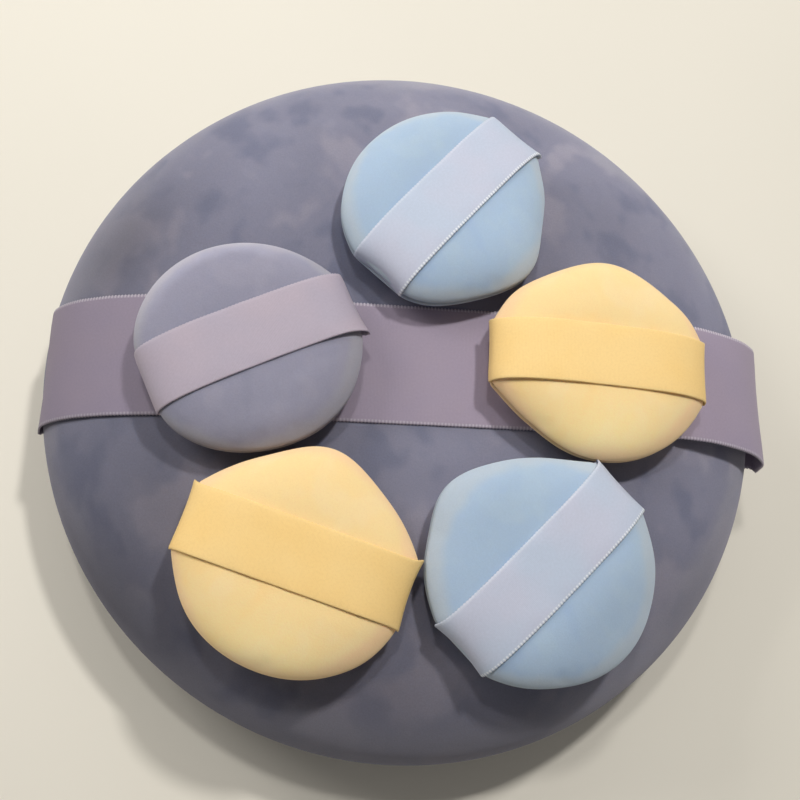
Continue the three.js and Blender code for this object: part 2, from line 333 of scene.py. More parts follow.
def velour(
    name, plain, brushed_down, brushed_up, side, radius, sheen, patch_size, tuft_contrast,
    painted_light_heading=(0, 0, 0), painted_far_rim_light=0,
):
    """Short cotton velour: patches of pile laid different ways, single tufts of pile, a paler side
    colour painted over the rim as painted rim light, and a soft sheen at the rims. Strokes in the
    pile, partly painted light and shade, make it lighter or darker. It is painted lighter towards a
    given heading and darker away from it, and lighter on the rim at +Y by a given share, as painted
    light and shade, and darker along the seam as painted shade."""
    material, tree = new_material(name)
    place = add_node(tree, "ShaderNodeTexCoord").outputs["Object"]
    strokes = add_node(tree, "ShaderNodeMapping", {
        "Vector": place, "Rotation": (0, 0, 0.3), "Scale": (1, 0.8, 1),
    }).outputs[0]
    patches = cloudy(tree, strokes, 1 / patch_size, 3, 0.5, 0.25)
    dabs = cloudy(tree, strokes, 2.6 / patch_size, 2, 0.5, 0.1)
    mottled = add_node(tree, "ShaderNodeMix", {0: 0.4, 2: patches, 3: dabs}).outputs[0]
    nap = add_node(tree, "ShaderNodeValToRGB", {"Fac": mottled})
    ramp = nap.color_ramp
    ramp.interpolation = "EASE"
    stops = ((0.38, brushed_down), (0.48, plain), (0.52, plain), (0.62, brushed_up))
    while len(ramp.elements) < len(stops):
        ramp.elements.new(0.5)
    for element, (at, colour) in zip(ramp.elements, stops):
        element.position = at
        element.color = colour
    flat = add_node(tree, "ShaderNodeVectorMath", {0: place, 1: (1, 1, 0)}, operation="MULTIPLY")
    wander = maths(tree, "MULTIPLY_ADD", patches, 0.25 * radius, length_of(tree, flat.outputs[0]))
    # Painted rim light: over the rim the pile goes over to the paler side colour.
    painted_rim_share = graded(tree, wander, 0.99 * radius, 1.09 * radius, to_high=0.7, eased=True)
    with_painted_rim_light = dyed(tree, painted_rim_share, nap.outputs["Color"], side)
    tufts = cloudy(tree, place, 2400, 3, 0.65)
    speckle = graded(tree, tufts, 0.3, 0.7, 1 - tuft_contrast, 1 + tuft_contrast)
    # Painted light and shade: lighter towards the given heading, darker away from it.
    painted_light_slope = measured_along(tree, place, [part / radius for part in painted_light_heading])
    # Strokes in the pile, partly painted light and shade.
    pile_and_light_marks = add_node(tree, "ShaderNodeAttribute", attribute_name="brushed_and_painted_light").outputs["Fac"]
    brushed_and_painted_light = maths(tree, "ADD", painted_light_slope, pile_and_light_marks)
    # Painted highlight: the rim on the +Y side is painted lighter.
    outwards = measured_along(tree, place, (0, 1 / radius, 0))
    painted_far_side_light = graded(tree, outwards, 0.35, 0.95, to_high=painted_far_rim_light, eased=True)
    rim = graded(tree, wander, 0.90 * radius, 1.01 * radius, eased=True)
    painted_rim_highlight = maths(tree, "MULTIPLY_ADD", painted_far_side_light, rim, 1)
    # Painted shade: the pile is darker close to the seam.
    height = add_node(tree, "ShaderNodeSeparateXYZ", {0: place}).outputs[2]
    off_seam = maths(tree, "ABSOLUTE", height)
    painted_seam_shade = graded(tree, off_seam, 0.0003, 0.0014, 0.78, 1, eased=True)
    tone_with_painted_light = maths(tree, "MULTIPLY", maths(tree, "ADD", brushed_and_painted_light, painted_rim_highlight), painted_seam_shade)
    pile = dyed(tree, 1, with_painted_rim_light, maths(tree, "MULTIPLY", speckle, tone_with_painted_light), "MULTIPLY")
    lie = raised(tree, cloudy(tree, strokes, 160, 2), 0.15, 0.0006)
    finish(
        tree, Base_Color=pile, Normal=raised(tree, tufts, 0.2, 0.0002, lie), Roughness=0.95,
        Specular_IOR_Level=0.1, Diffuse_Roughness=0.4, Sheen_Weight=sheen, Sheen_Roughness=0.5,
        Sheen_Tint=brushed_up, Subsurface_Weight=0.25, Subsurface_Radius=(1, 0.75, 0.55),
        Subsurface_Scale=0.0008,
    )
    return material


# Painted light and shade on the large puff: lighter towards +X and +Y, darker towards -X and -Y, and
# its side colour is painted rim light.
large_velour = velour(
    "large_velour", plain=shade(132, 132, 150), brushed_down=shade(118, 120, 140),
    brushed_up=shade(148, 145, 160), side=shade(147, 146, 158), radius=large_radius, sheen=0.35,
    patch_size=0.030, tuft_contrast=0.06, painted_light_heading=(0.12, 0.24, 0),
)

# Half the gap between the covers at the seam, and how much more it is at the band's ends.
large_seam_gap, large_end_gap = 0.00012, 0.0005
large_turns = around(large_segments)
large_gap = large_seam_gap + large_end_gap * at_band_end(large_turns, math.asin(0.17))
large_reach = np.ones(large_segments)
large_back_line = outside_line(
    large_radius, large_crown_rise, large_squareness, large_crown_rise, large_lip, 40,
)
large_face_line = outside_line(
    large_radius, large_face_depth + large_standing_cut, large_squareness, large_face_depth,
    large_lip, 34,
)
large_back = outside(large_back_line, 1, large_reach, large_gap)
large_face = outside(large_face_line, -1, large_reach, large_gap)


def room_over(points):
    """How far the back of the large puff may swell: freely between the small puffs, hardly
    under them, and not at all under its own band."""
    free, least, share_of_gap, beside_band = 0.0012, 0.0001, 0.7, 0.006
    x, y = points[..., 0], points[..., 1]
    room = np.full(x.shape, free)
    for place in small_places.values():
        share = np.hypot(x - place[0] * small_pitch, y - place[1] * small_pitch) / small_radius
        gap_under = small_face_depth * (1 - rise_at(np.minimum(share, 1), small_face_squareness))
        room = np.where(share < 1, np.minimum(room, least + share_of_gap * gap_under), room)
    beside = np.clip((np.abs(y) - 0.5 * large_band_width) / beside_band, 0, 1)
    return room * beside * beside * (3 - 2 * beside)


def held_rings(rings, strip):
    """1 at the seam and under the band, so that the simulation leaves these where they are."""
    at_seam, beside_band, fade = [0.3, 0.6, 0.9, 1, 1, 1], 0.002, 0.004
    held = np.zeros(rings.shape[:2])
    held[-len(at_seam):] = np.array(at_seam)[:, None]
    if strip:
        inside = 0.5 * strip + beside_band - np.abs(rings[..., 1])
        held = np.maximum(held, np.clip(inside / fade, 0, 1))
    return held


def flat_list(values, flip=False):
    """Ring values in the order of the bag's points, with one value at the pole."""
    rest = values[1:]
    if flip:
        return np.append(rest[::-1].ravel(), values[0, 0])
    return np.append(values[0, 0], rest.ravel())


held = [
    flat_list(held_rings(large_back, large_band_width)),
    flat_list(held_rings(large_face, 0), True),
]
room = [flat_list(room_over(large_back)), flat_list(np.zeros(large_face.shape[:2]), True)]
large_back, large_face = puffed((large_back, large_face), held, room, pressure=1)
large_face[..., 2] = np.maximum(large_face[..., 2], -large_face_depth)

# Strokes in the pile, partly painted light and shade: place, heading in degrees, half length,
# half width, how much lighter.
large_pile_and_light_marks = (
    (-0.045, 0.055, 80, 0.026, 0.012, 0.12), (-0.080, 0.031, 65, 0.026, 0.014, -0.38),
    (0.052, 0.046, 0, 0.016, 0.014, -0.12), (0.028, 0.078, 0, 0.016, 0.01, -0.08),
    (-0.074, -0.060, -40, 0.034, 0.018, -0.3), (0.080, -0.058, 50, 0.018, 0.012, -0.1),
    (0.008, -0.090, 0, 0.032, 0.010, -0.1), (0.004, -0.023, 0, 0.024, 0.010, 0.2),
    (0.088, 0.036, 65, 0.018, 0.008, 0.1), (0.076, -0.026, 60, 0.022, 0.014, 0.16),
    (-0.064, -0.036, -60, 0.016, 0.010, -0.14), (0, -0.037, 0, 0.018, 0.008, 0.16),
    (0.050, -0.080, 30, 0.018, 0.008, 0.2),
)
large_place = Matrix.Translation((0, 0, large_face_depth))
for name, rings, way, rise, line in (
    ("large_back_cover", large_back, 1, large_crown_rise, large_back_line),
    ("large_face_cover", large_face, -1, large_face_depth, large_face_line),
):
    mesh = cover(
        name + "_velour", rings, way, large_radius, rise, large_cloth, large_allowance, large_gap,
    )
    stroke_and_paint_light(mesh, large_pile_and_light_marks if way > 0 else ())
    made = piece(name + "_velour", mesh, large_place, "large_puff", large_velour, detail=1)
    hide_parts(name)


# Large puff, its filling and seam. A disc of soft white foam fills it, cut a little smaller than
# the covers so that it ends inside the seam allowances. One thread goes in and out round the
# side and pulls the two covers together.

foam_gap = 0.0003


def foam_material():
    """Fine open foam: pale cell walls round holes that are painted darker, as painted shade."""
    material, tree = new_material("white_foam")
    place = add_node(tree, "ShaderNodeTexCoord").outputs["Object"]
    cells = add_node(tree, "ShaderNodeTexVoronoi", {"Vector": place, "Scale": 900, "Randomness": 1})
    walls = add_node(tree, "ShaderNodeValToRGB", {"Fac": cells.outputs["Distance"]})
    # Painted shade: the holes of the cells are darker than their walls.
    painted_pore_shade, wall = walls.color_ramp.elements
    painted_pore_shade.position, painted_pore_shade.color = 0.1, shade(206, 200, 184)
    wall.position, wall.color = 0.55, shade(238, 233, 219)
    finish(
        tree, Base_Color=walls.outputs["Color"], Roughness=0.9, Specular_IOR_Level=0.2,
        Normal=raised(tree, cells.outputs["Distance"], 0.6, 0.0006),
    )
    return material


white_foam = foam_material()


def foam_disc(name, halves, lines, cloth, allowance, radius):
    """The filling: follows the inside of both covers and has a round shoulder at its side."""
    turns = around(halves[0].shape[1])
    reach = np.hypot(halves[0][-1][:, 0], halves[0][-1][:, 1]) / radius
    side = radius - allowance - foam_gap
    wall = cloth + foam_gap
    shoulder_from, shoulder_drop, least_rise = 0.9, 0.0004, 0.25
    rings = []
    for (across, up), way in zip(lines, (1, -1)):
        inner = np.minimum(across * (radius - wall) / radius, side)
        height = (up - up.max()) * (up.max() - wall) / up.max() + up.max() - wall
        shoulder = np.clip((inner / side - shoulder_from) / (1 - shoulder_from), 0, 1)
        level = height - shoulder_drop * shoulder * shoulder
        keep = height > least_rise * up.max()
        part = []
        for r, z in zip(inner[keep][::2], level[keep][::2]):
            flat = r * reach
            at_level = np.full(len(turns), way * z)
            part.append(np.stack([flat * np.cos(turns), flat * np.sin(turns), at_level], axis=1))
        rings += poles(part)[::way]
    return skin(name, rings)


def seam_thread(name, inner, outer, swing, thickness, stitches, ends, outline):
    """One thread round the side that dips in and out between the covers, with the ends of the
    band left free."""
    turns = around(stitches * 8)
    phase = stitches * turns
    share = np.interp(turns, np.append(around(len(outline)), 2 * np.pi), np.append(outline, outline[0]))
    clear = 1 - at_band_end(turns, ends)
    middle = (inner + (outer - inner) * (0.5 - 0.5 * np.cos(phase)) * clear) * share
    level = swing * np.sin(phase)
    line = np.stack([middle * np.cos(turns), middle * np.sin(turns), level], axis=1)
    ahead = np.roll(line, -1, axis=0) - np.roll(line, 1, axis=0)
    ahead /= np.linalg.norm(ahead, axis=1)[:, None]
    up = np.array([0, 0, 1.0])
    side = np.cross(ahead, up)
    side /= np.linalg.norm(side, axis=1)[:, None]
    over = np.cross(side, ahead)
    strands = [line + thickness / 2 * (math.cos(a) * side + math.sin(a) * over) for a in around(6)]
    return skin(name, strands, loop=True)


def thread_material(name, colour):
    """Spun polyester thread: two plies that twist round each other, with painted shade in the groove
    between them.
    """
    material, tree = new_material(name)
    place = add_node(tree, "ShaderNodeTexCoord").outputs["Object"]
    twist = add_node(tree, "ShaderNodeTexWave", {
        "Vector": place, "Scale": 900, "Distortion": 1.5,
    }, bands_direction="DIAGONAL").outputs["Fac"]
    # Painted shade: the thread is darker in the groove between its plies.
    painted_groove_shade = (*[0.78 * part for part in colour[:3]], 1)
    finish(
        tree, Base_Color=dyed(tree, twist, colour, painted_groove_shade), Normal=raised(tree, twist, 0.5, 0.00008),
        Roughness=0.55, Sheen_Weight=0.2, Sheen_Tint=colour,
    )
    return material


mesh = foam_disc(
    "large_foam", (large_back, large_face), (large_back_line, large_face_line), large_cloth,
    large_allowance, large_radius,
)
made = piece("large_foam", mesh, large_place, "large_puff", white_foam)
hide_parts("large_foam_core")

mesh = seam_thread(
    "large_thread", inner=0.0952, outer=0.0984, swing=0.0003, thickness=0.0005, stitches=150,
    ends=math.asin(0.19), outline=large_reach,
)
grey_thread = thread_material("large_thread", shade(120, 118, 132))
made = piece("large_thread", mesh, large_place, "large_puff", grey_thread)
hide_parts("large_seam_thread")


# Large band. A 32 mm woven ribbon lies across the back, and both of its ends are folded over the
# rim and sewn into the seam. The end at +X has slack, so it bows away from the rim there. Both
# edges are tighter woven and end in fine loops.

large_band_thickness = 0.0005
large_band_tuck = 0.004
large_band_reach = 0.992
large_band_stand_off = 0.0036
band_gap = 0.0003
loose_from = 0.791 * small_pitch
large_bow = (loose_from + 0.4 * small_radius, loose_from + 1.2 * small_radius)
# How the slack end curls out from the rim, as shares of the stand-off: out, and up.
curl_shares = ((0.12, 0), (0.62, 0.03), (0.93, 0.28))
# Two mesh rows for every loop, and the yarn spacings: rows, loops, cross yarns, long yarns.
row_step, loop_mm, rib_mm, yarn_mm = 0.00045, 0.9, 0.36, 0.24


def over_dome(share, radius, rise, squareness, lift):
    """A point of the back's outside, moved out along the surface's own normal."""
    share = np.abs(share)
    high = rise_at(share, squareness)
    outwards = rise * squareness * share ** (squareness - 1)
    upwards = 2 * radius * high
    length = np.hypot(outwards, upwards)
    return radius * share + lift * outwards / length, rise * high + lift * upwards / length


def band_line(radius, rise, squareness, thickness, tuck, reaches, stand_offs, bow, softness):
    """The middle line of a band from seam to seam, as x and height, in even rows."""
    def half(way, reach, stand_off):
        seam = reach * radius
        rim = seam + band_gap + thickness / 2
        curl = curl_shares if stand_off > 0 else ((0, 0),)
        share = 1 - (1 - np.linspace(0, 1, 90)) ** 2
        share = share[(share < 0.987) & (share > 0)][::-1]
        ease = np.clip((share * radius - bow[0]) / (bow[1] - bow[0]), 0, 1)
        lift = band_gap + thickness / 2 + stand_off * ease * ease * (3 - 2 * ease)
        x, z = over_dome(share, radius, rise, squareness, lift)
        x = x + (reach - 1) * radius * share
        start = [(seam - tuck, 0), *[(rim + out * stand_off, up * stand_off) for out, up in curl]]
        return [(way * a, b) for a, b in start] + list(zip(way * x, z))
    line = half(-1, reaches[0], stand_offs[0])
    line.append((0, rise + band_gap + thickness / 2))
    line += half(1, reaches[1], stand_offs[1])[::-1]
    line = np.array(line, float)
    along = np.append(0, np.cumsum(np.linalg.norm(np.diff(line, axis=0), axis=1)))
    fine_step = 0.0001
    fine = np.arange(0, along[-1], fine_step)
    even = np.stack([np.interp(fine, along, line[:, k]) for k in (0, 1)], axis=1)
    reach = int(3 * softness / fine_step)
    weight = np.exp(-0.5 * (np.arange(-reach, reach + 1) * fine_step / softness) ** 2)
    weight /= weight.sum()
    before, behind = np.repeat(even[:1], reach, axis=0), np.repeat(even[-1:], reach, axis=0)
    padded = np.concatenate([before, even, behind])
    even = np.stack([np.convolve(padded[:, k], weight, mode="valid") for k in (0, 1)], axis=1)
    along = np.append(0, np.cumsum(np.linalg.norm(np.diff(even, axis=0), axis=1)))
    count = int(round(along[-1] / row_step))
    steps = np.linspace(0, along[-1], count + 1)
    return np.stack([np.interp(steps, along, even[:, k]) for k in (0, 1)], axis=1), steps


def band_mesh(name, line, steps, width, thickness, shift, loop_depth, ripple, ends):
    """The woven ribbon along its line: thicker edges with loops and a faint ripple, which bend
    down to the cover. Towards each end it is pulled in at the middle by "pinch", and its two
    corners, near side first, spread and stand up over a length."""
    half = width / 2
    columns = [0.25, 0.5, 0.75, 0.9, 0.95, 0.985, 1]
    across = half * np.array([-column for column in columns[::-1]] + [0] + columns)
    ahead = np.gradient(line, axis=0)
    ahead /= np.linalg.norm(ahead, axis=1)[:, None]
    normal = np.stack([-ahead[:, 1], ahead[:, 0]], axis=1)
    count = len(line)
    top, low = np.zeros((count, len(across), 3)), np.zeros((count, len(across), 3))
    rims = [int(np.argmin(line[:, 0])), int(np.argmax(line[:, 0]))]
    still, past_rim, short_wave, long_wave = 0.003, 0.002, 0.0021, 0.005
    free = np.clip((steps - steps[rims[0]]) / still, 0, 1)
    free *= np.clip((steps[rims[1]] - steps) / still, 0, 1)
    for j, v in enumerate(across):
        share = v / half
        wave = 0.5 + 0.5 * np.sin(steps / short_wave + 4 * share + np.sin(steps / long_wave))
        lift = free * ripple * wave * share ** 2 - 0.95 * band_gap * share ** 8
        inwards, spread = np.zeros(count), np.zeros(count)
        for end, rim, way in zip(ends, rims, (1, -1)):
            past = way * (steps - steps[rim])
            window = np.exp(-0.5 * (np.maximum(past, 0) / end["length"]) ** 2)
            window *= np.clip(1 + past / past_rim, 0, 1)
            side = 0 if v < 0 else 1
            inwards = inwards + way * end["pinch"] * (1 - share ** 2) * window
            spread = spread + end["spread"][side] * abs(share) ** 3 * window
            lift = lift + end["stand"][side] * abs(share) ** 5 * window
        loops = loop_depth * (np.arange(count) % 2) if abs(share) == 1 else 0
        thick = thickness / 2 * (0.7 if abs(share) == 1 else 1.15 if abs(share) > 0.93 else 1)
        for grid, side in ((top, 1), (low, -1)):
            at = line + normal * (lift + side * thick)[:, None]
            grid[:, j, 0] = at[:, 0] + inwards
            grid[:, j, 1] = v + np.sign(v) * (loops + spread) + shift
            grid[:, j, 2] = at[:, 1]
    n = len(across)
    points = np.concatenate([top.reshape(-1, 3), low.reshape(-1, 3)])
    under = count * n
    faces = []
    for i in range(count - 1):
        for j in range(n - 1):
            a = i * n + j
            faces.append((a, a + n, a + n + 1, a + 1))
            faces.append((under + a, under + a + 1, under + a + n + 1, under + a + n))
        a, b = i * n, i * n + n - 1
        faces.append((a, under + a, under + a + n, a + n))
        faces.append((b, b + n, under + b + n, under + b))
    for j in range(n - 1):
        a, b = j, (count - 1) * n + j
        faces.append((a, a + 1, under + a + 1, under + a))
        faces.append((b, under + b, under + b + 1, b + 1))
    mesh = bpy.data.meshes.new(name)
    mesh.from_pydata([tuple(map(float, p)) for p in points], [], faces)
    weave = mesh.uv_layers.new(name="weave")
    u = np.tile(np.repeat(np.arange(count) * row_step * 1000, n), 2)
    v = np.tile(across * 1000, 2 * count)
    corners = np.empty(len(mesh.loops), np.int32)
    mesh.loops.foreach_get("vertex_index", corners)
    weave.data.foreach_set("uv", np.stack([u[corners], v[corners]], axis=1).astype(np.float32).ravel())
    mesh.polygons.foreach_set("use_smooth", [True] * len(mesh.polygons))
    mesh.validate()
    return mesh


def woven(name, plain, warm, light, width_mm, sheen, loops=(0, 0), painted_light_towards_end=0):
    """Close plain weave in fine yarn: cross yarns that show as faint ribs, with painted shade between
    the ribs, tone that drifts along the length, painted light that makes it lighter towards +X and
    darker towards -X, a tighter edge on both sides, and pale loops on it, near side and far side."""
    material, tree = new_material(name)
    place = add_node(tree, "ShaderNodeTexCoord").outputs["Object"]
    uv = add_node(tree, "ShaderNodeUVMap", uv_map="weave").outputs[0]
    lengthwise, across, _ = add_node(tree, "ShaderNodeSeparateXYZ", {0: uv}).outputs
    rib = maths(tree, "SINE", maths(tree, "MULTIPLY", lengthwise, 2 * math.pi / rib_mm))
    yarn = maths(tree, "SINE", maths(tree, "MULTIPLY", across, 2 * math.pi / yarn_mm))
    ridge = maths(tree, "MULTIPLY_ADD", rib, 0.7, maths(tree, "MULTIPLY", rib, yarn))
    off = maths(tree, "ABSOLUTE", across)
    edge = graded(tree, off, width_mm / 2 - 0.8, width_mm / 2 - 0.45, eased=True)
    drifted = graded(tree, cloudy(tree, place, 70, 2), 0.35, 0.65)
    loop = maths(tree, "COSINE", maths(tree, "MULTIPLY", lengthwise, 2 * math.pi / loop_mm))
    loop_share = graded(tree, across, -1, 1, *loops)
    paler = maths(tree, "MULTIPLY_ADD", graded(tree, loop, 0.3, -0.6), loop_share, 0.12)
    edged = dyed(tree, maths(tree, "MULTIPLY", edge, paler), dyed(tree, drifted, plain, warm), light)
    # Painted shade: the colour is darker between the ribs.
    painted_rib_shade = graded(tree, ridge, -1.7, 1.7, 0.965, 1.025)
    slub = graded(tree, cloudy(tree, uv, 1.6, 2, 0.6), 0.3, 0.7, 0.97, 1.03)
    # Painted light: lighter towards +X and darker towards -X.
    towards = add_node(tree, "ShaderNodeSeparateXYZ", {0: place}).outputs[0]
    painted_end_light = maths(tree, "MULTIPLY_ADD", towards, painted_light_towards_end / (0.003 * width_mm), 1)
    tone = maths(tree, "MULTIPLY", painted_rib_shade, maths(tree, "MULTIPLY", painted_end_light, slub))
    finish(
        tree, Base_Color=dyed(tree, 1, edged, tone, "MULTIPLY"), Roughness=0.62,
        Normal=raised(tree, ridge, 0.2, 0.00006), Specular_IOR_Level=0.3, Sheen_Weight=sheen,
        Sheen_Roughness=0.35, Sheen_Tint=light,
    )
    return material


large_woven = woven(
    "large_woven", plain=shade(152, 141, 161), warm=shade(155, 143, 161), light=shade(206, 200, 210),
    width_mm=32, sheen=0.12, loops=(0.4, 0.6), painted_light_towards_end=0.22,
)
line, steps = band_line(
    large_radius, large_crown_rise, large_squareness, large_band_thickness, large_band_tuck,
    (large_band_reach, large_band_reach), (0, large_band_stand_off), large_bow, softness=0.0005,
)
# The slack end also lies a little towards -Y.
aside_from, aside_over, most_aside = 0.055, 0.045, -0.0015
aside = np.clip((line[:, 0] - aside_from) / aside_over, 0, 1)
aside = most_aside * aside * aside * (3 - 2 * aside)
mesh = band_mesh(
    "large_band", line, steps, large_band_width, large_band_thickness, aside,
    loop_depth=0.0003, ripple=0.0001, ends=(
        dict(pinch=0, spread=(0.0006, 0), stand=(0.0006, 0), length=0.006),
        dict(pinch=0.0006, spread=(0.0014, 0.0006), stand=(0, 0.0002), length=0.012),
    ),
)
made = piece("large_band_ribbon", mesh, large_place, None, large_woven)
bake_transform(made)
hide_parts("large_ribbon")


# Small puffs. Five face puffs of one size, each made as the large one: two velour covers over a
# foam disc, sewn together round the side. Their bands pull the outline straight at both ends and
# the soft foam bulges out beside them. Two blue, two yellow and one lilac.

small_crown_rise = 0.008
small_squareness = 3.4
small_lip = 0.0009
small_cloth = 0.001
small_allowance = 0.004
small_segments = 96
small_band_width = 0.016
small_band_thickness = 0.00035
small_band_tuck = 0.0022
small_stand_off = 0.0009
small_bow = (0.5 * small_radius, 0.95 * small_radius)

# For each: turn of its band in degrees, whether it lies on the large band, the share of the
# stand-off at each end of its band, how far off the middle the band lies and how far the outline
# reaches at its ends, both as shares of the radius, the swells of the outline as turn from the
# band, spread, and share of the radius, the strokes in its pile, partly painted light and shade,
# and the two ends of its band.
small_puffs = {
    "lilac": dict(
        turn=25, on_band=True, stand_off=(0, 1), shift=0, reach=(0.94, 0.965), colour="lilac",
        swells=((136, 40, 0.014), (-52, 40, 0.006), (55, 62, -0.03), (-103, 50, -0.034)),
        pile_and_light_marks=((-0.004, -0.019, -5, 0.014, 0.003, 0.08), (0.010, -0.014, 10, 0.008, 0.002, 0.06)),
        ends=(
            dict(pinch=0, spread=(0, 0), stand=(0.0002, 0), length=0.003),
            dict(pinch=0.0002, spread=(0.0006, 0), stand=(0.0007, 0), length=0.004),
        ),
    ),
    "blue_top": dict(
        turn=49.4, on_band=False, stand_off=(0, 0), shift=0, reach=(1.015, 1.045), colour="blue",
        swells=(
            (-155, 24, 0.055), (-120, 25, -0.02), (-90, 24, 0.03), (-58, 32, -0.07),
            (28, 28, 0.04), (87, 45, -0.032), (150, 30, 0.045),
        ),
        pile_and_light_marks=((0.002, -0.016, 0, 0.018, 0.007, 0.06), (-0.006, 0.020, 0, 0.012, 0.005, 0.04)),
        ends=(
            dict(pinch=0.0009, spread=(0, 0), stand=(0.0003, 0.0001), length=0.003),
            dict(pinch=0.0003, spread=(0.0007, 0), stand=(0.0006, 0.0002), length=0.0025),
        ),
    ),
    "yellow_right": dict(
        turn=-2.7, on_band=True, stand_off=(0, 0), shift=-0.045, reach=(1.04, 1.01), colour="yellow",
        swells=(
            (-105, 60, -0.04), (-135, 35, -0.04), (-150, 25, 0.03), (-30, 30, 0.03),
            (28, 17, 0.03), (56, 40, -0.045), (116, 40, -0.07), (152, 22, 0.035),
        ),
        pile_and_light_marks=((0, -0.022, 0, 0.022, 0.009, 0.14),),
        ends=(
            dict(pinch=0.0002, spread=(0, 0.0004), stand=(0, 0.0004), length=0.002),
            dict(pinch=0.0003, spread=(0, 0.0006), stand=(0.0002, 0.0006), length=0.002),
        ),
    ),
    "yellow_low": dict(
        turn=-18.1, on_band=False, stand_off=(0, 0), shift=0.046, reach=(1.01, 1), colour="yellow",
        swells=(
            (-95, 58, -0.052), (-30, 25, 0.03), (57, 34, -0.062), (92, 22, 0.02), (124, 34, -0.07),
        ),
        pile_and_light_marks=((0, -0.022, 0, 0.022, 0.009, 0.13),),
        ends=(
            dict(pinch=0.0002, spread=(0.0002, 0.0006), stand=(0.0002, 0.0005), length=0.002),
            dict(pinch=0.0005, spread=(0.0004, 0.0009), stand=(0.0002, 0.0006), length=0.0025),
        ),
    ),
    "blue_low": dict(
        turn=45, on_band=False, stand_off=(0, 0), shift=0.01, reach=(1.01, 1.04), colour="blue",
        swells=(
            (-87, 60, 0.065), (-33, 35, 0.05), (-152, 30, 0.035), (47, 32, -0.035),
            (98, 30, 0.105), (142, 35, 0.05),
        ),
        pile_and_light_marks=((0.004, -0.018, 0, 0.020, 0.008, -0.13), (0, 0.018, 0, 0.016, 0.006, -0.06)),
        ends=(
            dict(pinch=0.0007, spread=(0, 0.0003), stand=(0.0002, 0.0003), length=0.003),
            dict(pinch=0.0003, spread=(0.0003, 0.0005), stand=(0.0003, 0.0004), length=0.0025),
        ),
    ),
}
# Painted light: each side colour is painted rim light, and the lilac's rim at +Y is painted lighter.
small_velours = {
    "lilac": velour(
        "lilac_velour", plain=shade(156, 155, 174), brushed_down=shade(151, 151, 170),
        brushed_up=shade(161, 159, 177), side=shade(173, 171, 180), radius=small_radius,
        sheen=0.3, patch_size=0.018, tuft_contrast=0.04, painted_far_rim_light=0.22,
    ),
    "blue": velour(
        "blue_velour", plain=shade(179, 200, 223), brushed_down=shade(175, 197, 223),
        brushed_up=shade(183, 203, 223), side=shade(196, 206, 216), radius=small_radius,
        sheen=0.25, patch_size=0.018, tuft_contrast=0.03,
    ),
    "yellow": velour(
        "yellow_velour", plain=shade(255, 226, 170), brushed_down=shade(255, 223, 164),
        brushed_up=shade(255, 228, 177), side=shade(255, 216, 174), radius=small_radius,
        sheen=0.2, patch_size=0.018, tuft_contrast=0.03,
    ),
}
small_wovens = {
    "lilac": woven(
        "lilac_woven", plain=shade(177, 168, 184), warm=shade(183, 171, 185),
        light=shade(206, 198, 210), width_mm=16, sheen=0.12,
    ),
    "blue": woven(
        "blue_woven", plain=shade(194, 205, 225), warm=shade(201, 205, 224),
        light=shade(238, 243, 250), width_mm=16, sheen=0.12, loops=(0.9, 0.1),
    ),
    "yellow": woven(
        "yellow_woven", plain=shade(255, 219, 150), warm=shade(255, 216, 143),
        light=shade(255, 228, 170), width_mm=16, sheen=0.1,
    ),
}
small_threads = {
    "lilac": thread_material("lilac_thread", shade(150, 148, 164)),
    "blue": thread_material("blue_thread", shade(168, 186, 206)),
    "yellow": thread_material("yellow_thread", shade(238, 206, 148)),
}


def outline(segments, reach, swells, shift, width, radius):
    """The outline as a share of the radius: straight across both ends of the band, and softly
    swollen or hollow between them."""
    turns = around(segments)
    degrees = np.degrees(turns)
    free = np.ones(segments)
    for turn, spread, swell in swells:
        away = np.abs((degrees - turn + 180) % 360 - 180)
        free += swell * (1 + np.cos(np.pi * np.minimum(away / spread, 1))) / 2
    near = np.where(np.cos(turns) > 0, reach[1], reach[0]) / np.maximum(np.abs(np.cos(turns)), 0.5)
    beside_share, softened_by = 0.2, 6
    beside = (np.abs(near * np.sin(turns) - shift) - width / 2 / radius) / beside_share
    at_end = np.where(np.abs(np.cos(turns)) > 0.5, 1 - np.clip(beside, 0, 1), 0)
    at_end = at_end * at_end * (3 - 2 * at_end)
    joined = near * at_end + free * (1 - at_end)
    spread = np.exp(-0.5 * (((degrees + 180) % 360 - 180) / softened_by) ** 2)
    soft = np.real(np.fft.ifft(np.fft.fft(joined) * np.fft.fft(spread / spread.sum())))
    inside = np.clip(1 - np.clip(beside, 0, 1) / 0.5, 0, 1) * (at_end > 0)
    return soft * (1 - inside) + joined * inside


def place_on_crown(place, turn, on_band):
    """Sets a small puff square to the large puff's crown, or on its band."""
    x, y = place[0] * small_pitch, place[1] * small_pitch
    share = math.hypot(x, y) / large_radius
    lift = band_gap + ((large_band_thickness + band_gap) if on_band else 0)
    out, up = over_dome(share, large_radius, large_crown_rise, large_squareness, lift)
    flat, steep = over_dome(share, large_radius, large_crown_rise, large_squareness, lift + 1)
    heading = math.atan2(y, x)
    normal = Vector(((flat - out) * math.cos(heading), (flat - out) * math.sin(heading), steep - up))
    tilt = Vector((0, 0, 1)).rotation_difference(normal.normalized()).to_matrix().to_4x4()
    spot = Matrix.Translation((out * math.cos(heading), out * math.sin(heading), large_face_depth + up))
    return spot @ tilt @ Matrix.Rotation(math.radians(turn), 4, "Z")


small_seam_gap, small_end_gap = 0.0001, 0.0004
